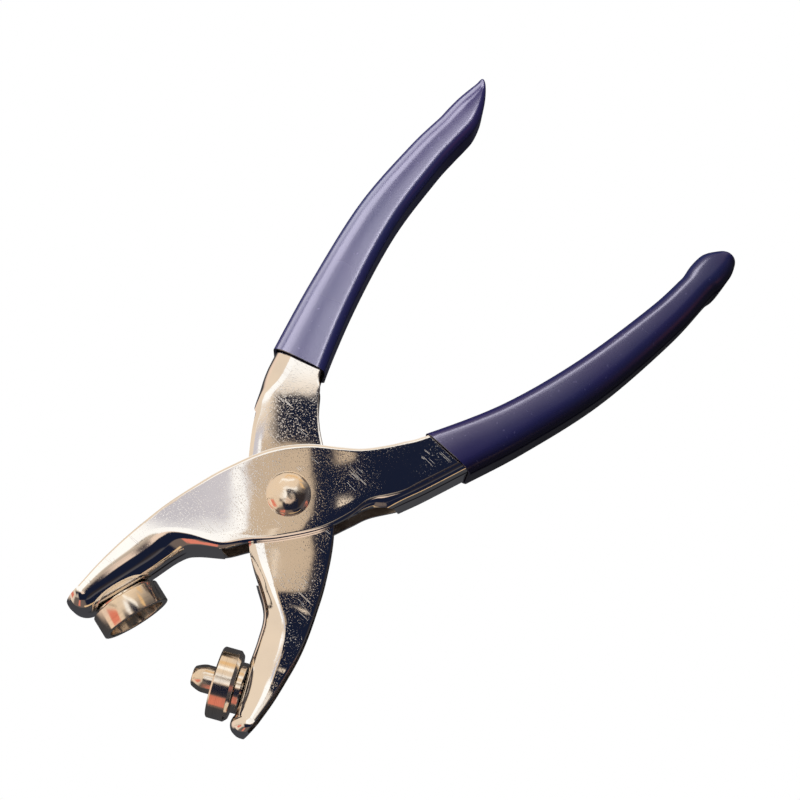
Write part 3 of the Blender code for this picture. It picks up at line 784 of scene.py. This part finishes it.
def spring_path():
    finish = atan2(OUTER_LEG_END.y, OUTER_LEG_END.x)
    finish -= acos(SPRING_COIL_RADIUS / OUTER_LEG_END.length)
    start = atan2(INNER_LEG_END.y, INNER_LEG_END.x)
    start += acos(SPRING_COIL_RADIUS / INNER_LEG_END.length)
    turn = (finish - start) % (2 * pi) + 2 * pi * (SPRING_TURNS - 1)
    height = SPRING_PITCH * turn / (2 * pi)
    points = [Vector((*INNER_LEG_END, MID_HEIGHT - height / 2))]
    steps = int(turn / radians(6))
    for step in range(steps + 1):
        part = step / steps
        angle = start + turn * part
        level = MID_HEIGHT + height * (part - 0.5)
        points.append(Vector((cos(angle), sin(angle), 0.0)) * SPRING_COIL_RADIUS)
        points[-1].z = level
    points.append(Vector((*OUTER_LEG_END, MID_HEIGHT + height / 2)))
    return points


spring = swept_wire("opening_spring_wire", spring_path(), SPRING_WIRE_RADIUS, DARK_STEEL)
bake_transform(spring)
stand_for(spring, "opening_spring", None)

# Dies. Each is drawn about the centre of its working face and the direction it faces.
DIE_RADIUS = 8.15
CUP_FACE = (-6.33, -43.47, MID_HEIGHT)
CUP_DIRECTION = (0.97, -0.244, 0.0)
CUP_HEIGHT = 5.2
CUP_RECESS_RADIUS = 6.7
CUP_RECESS_DEPTH = 4.3
CUP_BACK_ROUNDING = 0.3
CUP_RIM_ROUNDING = 0.2
CUP_MOUTH_ROUNDING = 0.25
CUP_FLOOR_ROUNDING = 0.6
CUP_SEAT_RADIUS = 7.0
CUP_SEAT_HEIGHT = 0.5
STUD_FACE = (16.4, -41.5, MID_HEIGHT)
STUD_DIRECTION = (-0.888, -0.459, 0.0)
COLLAR_HEIGHT = 4.9
COLLAR_CHAMFER = 0.8
COLLAR_FRONT_CHAMFER = 0.35
COLLAR_ROUNDING = 0.08
STUD_SEAT_RADIUS = 5.8
STUD_SEAT_HEIGHT = 1.3
STUD_RADIUS = 3.175
STUD_LENGTH = 5.2
STUD_TIP_RADIUS = 2.1
# The stud is straight for this share of its length and then narrows along a curve.
STUD_STRAIGHT_SHARE = 0.45
STUD_TAPER_POWER = 1.6
STUD_TAPER_STEPS = 10
STUD_TIP_DROP = 0.15
STUD_TIP_FLAT = 0.3
DIE_SHANK_RADIUS = 1.9
DIE_TAIL_RADIUS = 2.9
DIE_TAIL_HEIGHT = 1.0
DIE_TAIL_EDGE = 0.5
DIE_TAIL_EDGE_HEIGHT = 0.4
CUP_HEAD_OVERHANG = 0.5
CUP_HEAD_SHOULDER = 0.35
CUP_HEAD_SHOULDER_HEIGHT = 0.45
CUP_HEAD_HEIGHT = 0.8
SEAT_EDGE = 0.12
SEAT_GAP = 0.2
shank_hole = DIE_SHANK_RADIUS + CLEARANCE

cup_floor = -CUP_RECESS_DEPTH
cup_back = -CUP_HEIGHT
back_corner = (DIE_RADIUS - CUP_BACK_ROUNDING, cup_back + CUP_BACK_ROUNDING)
rim_corner = (DIE_RADIUS - CUP_RIM_ROUNDING, -CUP_RIM_ROUNDING)
mouth_corner = (CUP_RECESS_RADIUS + CUP_MOUTH_ROUNDING, -CUP_MOUTH_ROUNDING)
floor_corner = (CUP_RECESS_RADIUS - CUP_FLOOR_ROUNDING, cup_floor + CUP_FLOOR_ROUNDING)
cup_profile = [(shank_hole, cup_back), (DIE_RADIUS - CUP_BACK_ROUNDING, cup_back)]
cup_profile += arc(back_corner, CUP_BACK_ROUNDING, -90, 0, 4)[1:]
cup_profile += arc(rim_corner, CUP_RIM_ROUNDING, 0, 90, 4)
cup_profile += arc(mouth_corner, CUP_MOUTH_ROUNDING, 90, 180, 4)
cup_profile += arc(floor_corner, CUP_FLOOR_ROUNDING, 0, -90, 5)
cup_profile += [(shank_hole, cup_floor)]
cup = turned("cup_die_turned", cup_profile, DIE)
place(cup, CUP_FACE, CUP_DIRECTION)
stand_for(cup, "cup_die", "outer")


def seat_ring(name, top, radius, height, face, direction):
    """A thin ring behind a die, with its top at a height on the die's own axis."""
    inside = radius - SEAT_EDGE
    profile = [(shank_hole, top - height), (inside, top - height)]
    profile += [(radius, top - height + SEAT_EDGE), (radius, top - SEAT_EDGE), (inside, top)]
    profile += [(shank_hole, top)]
    made = turned(name, profile, DIE)
    place(made, face, direction)
    return made


cup_seat_top = -CUP_HEIGHT - SEAT_GAP
seat = seat_ring(
    "cup_seat_ring", cup_seat_top, CUP_SEAT_RADIUS, CUP_SEAT_HEIGHT, CUP_FACE, CUP_DIRECTION
)
stand_for(seat, "cup_seat", "outer")


def die_rivet(name, face, direction, web_face, head):
    """A rivet from its head in the die, through the jaw's web, to a tail in the channel."""
    tail_top = web_face - SHEET - 2 * SEAT_GAP
    low = tail_top - DIE_TAIL_HEIGHT
    profile = [(0.0, low), (DIE_TAIL_RADIUS - DIE_TAIL_EDGE, low)]
    profile += [(DIE_TAIL_RADIUS, low + DIE_TAIL_EDGE_HEIGHT), (DIE_TAIL_RADIUS, tail_top)]
    profile += [(DIE_SHANK_RADIUS, tail_top), (DIE_SHANK_RADIUS, head[0][1]), *head]
    made = turned(name, profile, DIE)
    place(made, face, direction)
    return made


head_low = cup_floor + CLEARANCE
head_high = head_low + CUP_HEAD_HEIGHT
shoulder = (DIE_TAIL_RADIUS + CUP_HEAD_SHOULDER, head_low + CUP_HEAD_SHOULDER_HEIGHT)
cup_head = [(DIE_TAIL_RADIUS + CUP_HEAD_OVERHANG, head_low), shoulder]
cup_head += [(DIE_TAIL_RADIUS, head_high), (0.0, head_high)]
cup_web = cup_seat_top - CUP_SEAT_HEIGHT - SEAT_GAP
cup_rivet = die_rivet("cup_rivet_turned", CUP_FACE, CUP_DIRECTION, cup_web, cup_head)
stand_for(cup_rivet, "cup_rivet", "outer")

collar_back = -COLLAR_HEIGHT
collar_profile = [(shank_hole, collar_back), (DIE_RADIUS - COLLAR_CHAMFER, collar_back)]
collar_profile += [(DIE_RADIUS, collar_back + COLLAR_CHAMFER)]
collar_profile += [(DIE_RADIUS, -COLLAR_FRONT_CHAMFER)]
collar_profile += [(DIE_RADIUS - COLLAR_FRONT_CHAMFER, 0.0), (shank_hole, 0.0)]
collar = turned("stud_collar_turned", collar_profile, DIE)
round_edges(collar, COLLAR_ROUNDING, angle=20.0)
place(collar, STUD_FACE, STUD_DIRECTION)
stand_for(collar, "stud_collar", "inner")

stud_seat_top = -COLLAR_HEIGHT - SEAT_GAP
seat = seat_ring(
    "stud_seat_ring", stud_seat_top, STUD_SEAT_RADIUS, STUD_SEAT_HEIGHT, STUD_FACE, STUD_DIRECTION
)
stand_for(seat, "stud_seat", "inner")

stud_head = [(STUD_RADIUS, CLEARANCE), (STUD_RADIUS, STUD_LENGTH * STUD_STRAIGHT_SHARE)]
for step in range(1, STUD_TAPER_STEPS):
    part = step / STUD_TAPER_STEPS
    narrow = STUD_RADIUS - (STUD_RADIUS - STUD_TIP_RADIUS) * part**STUD_TAPER_POWER
    share = STUD_STRAIGHT_SHARE + (1 - STUD_STRAIGHT_SHARE) * part
    stud_head.append((narrow, STUD_LENGTH * share))
stud_head += [(STUD_TIP_RADIUS, STUD_LENGTH - STUD_TIP_DROP)]
stud_head += [(STUD_TIP_RADIUS - STUD_TIP_FLAT, STUD_LENGTH), (0.0, STUD_LENGTH)]
stud_web = stud_seat_top - STUD_SEAT_HEIGHT - SEAT_GAP
stud = die_rivet("stud_pin_turned", STUD_FACE, STUD_DIRECTION, stud_web, stud_head)
stand_for(stud, "stud_pin", "inner")

# The bush keeps its CAD mesh.
bush = frame["nodes"]["pivot_bush"]
bush.data.materials.clear()
bush.data.materials.append(DARK_STEEL)

# ---------------------------------------------------------------- studio
STUDIO_TURN = radians(42.5)
FLOOR_HALF = 3.0
EYE = Vector((57.9, -49.6, 375.3)) * MM
EYE_ANGLES = (radians(15.3), radians(-2.6), radians(42.5))
LENS = 72.0
SENSOR_WIDTH = 36.0

camera_data = bpy.data.cameras.new("photo_camera")
camera_data.lens = LENS
camera_data.sensor_width = SENSOR_WIDTH
camera = bpy.data.objects.new("photo_camera", camera_data)
camera.location = EYE
camera.rotation_euler = EYE_ANGLES
bpy.context.collection.objects.link(camera)
bpy.context.scene.camera = camera


def build_floor():
    """A plain white floor that glows evenly. It lights and mirrors in nothing: only the camera
    sees it, and it catches no shadow.
    """
    mesh = bpy.data.meshes.new("floor")
    corners = [(-1, -1), (1, -1), (1, 1), (-1, 1)]
    vertices = [(x * FLOOR_HALF, y * FLOOR_HALF, 0.0) for x, y in corners]
    mesh.from_pydata(vertices, [], [(0, 1, 2, 3)])
    made = bpy.data.materials.new("pale_floor")
    made.use_nodes = True
    nodes = Nodes(made.node_tree)
    made.node_tree.nodes.clear()
    pale = nodes.add("ShaderNodeEmission", {"Color": colour(1, 1, 1), "Strength": 1.0})
    nodes.add("ShaderNodeOutputMaterial", {0: pale.outputs[0]})
    mesh.materials.append(made)
    floor = bpy.data.objects.new("floor", mesh)
    floor.visible_glossy = False
    floor.visible_diffuse = False
    floor.visible_shadow = False
    bpy.context.collection.objects.link(floor)
    return floor


build_floor()

# The studio is five faces of a box round the pliers, in the picture's own directions. Each face
# has its own plane coordinates: position across and position up, over the distance to the face.
# NEAREST keeps those coordinates finite at the edge of a face.
NEAREST = 0.05
FACES = {
    "ceiling": (Vector((1, 0, 0)), Vector((0, 1, 0)), Vector((0, 0, 1))),
    "left": (Vector((0, 1, 0)), Vector((0, 0, 1)), Vector((-1, 0, 0))),
    "right": (Vector((0, -1, 0)), Vector((0, 0, 1)), Vector((1, 0, 0))),
    "top": (Vector((1, 0, 0)), Vector((0, 0, 1)), Vector((0, 1, 0))),
    "bottom": (Vector((-1, 0, 0)), Vector((0, 0, 1)), Vector((0, -1, 0))),
}


def shade(red, green, blue, strength=1.0):
    """A colour given as it looks on a screen, from 0 to 255, as linear light."""
    linear = [(value / 255) ** 2.2 * strength for value in (red, green, blue)]
    return colour(*linear)


BRIGHT = shade(255, 251, 244, 1.1)
BEIGE = shade(203, 178, 150)
CREAM = shade(236, 214, 188)
LILAC = shade(206, 200, 203)
PEACH = shade(243, 214, 190)
GOLD = shade(236, 196, 146)
SALMON = shade(226, 130, 108)
NAVY = shade(30, 35, 52)
BROWN = shade(112, 98, 90)
GREY = shade(80, 77, 80)
GLOOM = shade(50, 45, 46)
BENCH = shade(68, 68, 71)
SHADOW = shade(14, 14, 18)

# Level directions that the plain parts of the room depend on: where its walls are grey, where it
# is pale low down, and where it is almost black low down.
GREY_WALL = Vector((0.75, -0.66, 0.0))
PALE_LOW = Vector((-0.96, 0.28, 0.0))
DARK_LOW = Vector((0.95, -0.31, 0.0))

# The panels that the steel mirrors. The small overhead ones have almost hard edges and set the
# light and dark zones that the flat plates show to a camera overhead. Later ones cover earlier:
# (face, centre across, centre up, half width, half height, slant, softness, colour)
PANELS = [
    # low down, all round
    ("left", -0.45, 0.15, 0.20, 0.45, 0.0, 0.05, PEACH),
    ("left", -0.46, 0.82, 0.20, 0.44, 0.0, 0.04, SALMON),
    ("left", -0.12, 0.6, 0.02, 0.9, 0.0, 0.015, GLOOM),
    ("top", 0.70, 0.65, 0.16, 0.18, 0.0, 0.04, GOLD),
    ("top", 0.18, 0.55, 0.25, 0.14, 0.0, 0.04, GOLD),
    ("right", -0.27, 0.42, 0.16, 0.14, 0.0, 0.04, BRIGHT),
    ("top", 0.85, 0.12, 0.18, 0.18, 0.0, 0.06, BROWN),
    ("right", 0.1, 0.85, 0.75, 0.60, 0.0, 0.15, GREY),
    ("right", 0.60, 0.22, 0.40, 0.05, 0.0, 0.03, BROWN),
    ("bottom", 0.30, 0.5, 0.65, 0.9, 0.0, 0.15, BROWN),
    ("bottom", 0.33, 0.55, 0.10, 0.40, 0.0, 0.03, SALMON),
    ("bottom", -0.72, 0.45, 0.40, 0.50, 0.0, 0.06, NAVY),
    ("bottom", -0.72, 0.10, 0.22, 0.06, 0.0, 0.03, GOLD),
    ("bottom", -0.30, 0.12, 0.20, 0.08, 0.0, 0.04, GOLD),
    ("right", 0.40, 0.30, 0.10, 0.22, 0.0, 0.05, SALMON),
    # overhead
    ("ceiling", 0.50, -0.25, 0.52, 0.55, 0.5, 0.12, GLOOM),
    ("ceiling", 0.05, -0.55, 0.45, 0.45, 0.0, 0.08, NAVY),
    ("ceiling", 0.01, -0.13, 0.10, 0.10, -0.8, 0.03, PEACH),
    ("ceiling", -0.14, 0.08, 0.10, 0.14, 0.0, 0.02, BRIGHT),
    ("ceiling", -0.03, 0.345, 0.17, 0.060, -0.35, 0.02, BRIGHT),
    ("ceiling", 0.24, 0.36, 0.14, 0.070, 0.0, 0.02, BRIGHT),
    ("ceiling", 0.78, 0.72, 0.16, 0.20, 0.0, 0.04, GOLD),
    ("ceiling", -0.10, 0.95, 0.38, 0.16, 0.0, 0.04, BRIGHT),
    ("ceiling", -0.080, 0.225, 0.035, 0.035, 0.0, 0.008, LILAC),
    ("ceiling", -0.057, 0.200, 0.005, 0.050, 0.0, 0.004, BRIGHT),
    ("ceiling", -0.030, 0.200, 0.021, 0.048, 0.0, 0.002, BEIGE),
    ("ceiling", 0.140, 0.166, 0.151, 0.111, 0.0, 0.002, NAVY),
    ("ceiling", -0.020, 0.261, 0.016, 0.015, 0.0, 0.002, NAVY),
    ("ceiling", 0.009, 0.240, 0.005, 0.008, 0.0, 0.002, BEIGE),
    ("ceiling", 0.012, 0.204, 0.004, 0.004, 0.0, 0.002, CREAM),
    ("ceiling", 0.055, 0.100, 0.078, 0.050, 0.0, 0.003, NAVY),
    ("ceiling", -0.033, 0.160, 0.002, 0.016, 0.0, 0.001, CREAM),
]


def build_world():
    """A beige and grey room with panels. Camera rays see plain white in its place."""
    world = bpy.data.worlds.new("studio")
    bpy.context.scene.world = world
    world.use_nodes = True
    nodes = Nodes(world.node_tree)
    background = world.node_tree.nodes["Background"]
    inputs = {"Vector": nodes.add("ShaderNodeTexCoord").outputs["Generated"], "Angle": -STUDIO_TURN}
    direction = nodes.add("ShaderNodeVectorRotate", inputs, rotation_type="Z_AXIS").outputs[0]

    def along(axis):
        inputs = {0: direction, 1: axis}
        return nodes.add("ShaderNodeVectorMath", inputs, operation="DOT_PRODUCT").outputs["Value"]

    faces = {}
    for name, axes in FACES.items():
        across, up, away = [along(axis) for axis in axes]
        near = nodes.math("MAXIMUM", away, NEAREST)
        front = nodes.math("GREATER_THAN", away, NEAREST)
        faces[name] = (nodes.math("DIVIDE", across, near), nodes.math("DIVIDE", up, near), front)
    height = along(Vector((0, 0, 1)))
    above = nodes.ramp(height, -0.01, 0.02)
    lit = nodes.ramp(along(GREY_WALL), -0.25, 0.35, 1.0, 0.0)
    pale = nodes.ramp(along(PALE_LOW), 0.70, 0.92)
    shade_side = nodes.ramp(along(DARK_LOW), 0.26, 0.42)
    shade_side = nodes.math("MULTIPLY", shade_side, nodes.ramp(height, -0.82, -0.62, 1.0, 0.0))
    below = nodes.mix(shade_side, nodes.mix(pale, BENCH, PEACH), SHADOW)
    room = nodes.mix(nodes.ramp(height, -0.02, 0.04), below, nodes.mix(lit, GREY, CREAM))
    for face, across, up, half_width, half_height, slant, soft, tone in PANELS:
        u, v, front = faces[face]
        v = nodes.math("SUBTRACT", v, up)
        u = nodes.math("SUBTRACT", u, across)
        u = nodes.math("MULTIPLY_ADD", v, -slant, u)
        inside = nodes.ramp(nodes.math("ABSOLUTE", u), half_width - soft, half_width + soft, 1, 0)
        low = nodes.ramp(nodes.math("ABSOLUTE", v), half_height - soft, half_height + soft, 1, 0)
        share = nodes.math("MULTIPLY", nodes.math("MULTIPLY", inside, low), front)
        share = nodes.math("MULTIPLY", share, above)
        room = nodes.mix(share, room, tone)
    seen = nodes.add("ShaderNodeLightPath").outputs["Is Camera Ray"]
    nodes.put(background.inputs["Color"], nodes.mix(seen, room, colour(1, 1, 1)))
    background.inputs["Strength"].default_value = 1.0


build_world()

# Lamps for the vinyl alone: (name, position in metres in the studio's directions, width, length,
# power, grips that it lights). Light linking keeps them off all steel, which shows only the room.
GRIP_LAMPS = [
    ("key_lamp", (-0.78, 1.15, 1.5), 1.5, 1.4, 85.0, GRIPS),
    ("side_lamp", (-1.17, 1.30, 0.05), 1.2, 2.0, 44.0, GRIPS[1:]),
    ("fill_lamp", (0.62, 0.46, 1.5), 1.3, 0.46, 17.0, GRIPS[1:]),
    ("edge_lamp", (0.75, 0.18, 1.5), 0.22, 0.9, 14.0, GRIPS[1:]),
]


def build_grip_lamps():
    """Area lamps that face the origin, each linked to its own grips."""
    studio = Matrix.Rotation(STUDIO_TURN, 3, "Z")
    for name, position, width, length, power, sleeves in GRIP_LAMPS:
        lit = bpy.data.collections.new(name + "_lights")
        for sleeve in sleeves:
            lit.objects.link(sleeve)
        lamp_data = bpy.data.lights.new(name, "AREA")
        lamp_data.shape = "RECTANGLE"
        lamp_data.size = width
        lamp_data.size_y = length
        lamp_data.energy = power
        away = (studio @ Vector(position)).normalized()
        side = (studio @ Vector((0, 1, 0))).cross(away).normalized()
        turn = Matrix((side, away.cross(side), away)).transposed().to_4x4()
        lamp = bpy.data.objects.new(name, lamp_data)
        lamp.matrix_world = Matrix.Translation(studio @ Vector(position)) @ turn
        lamp.light_linking.receiver_collection = lit
        bpy.context.collection.objects.link(lamp)


build_grip_lamps()
bpy.context.scene.view_settings.view_transform = "Standard"
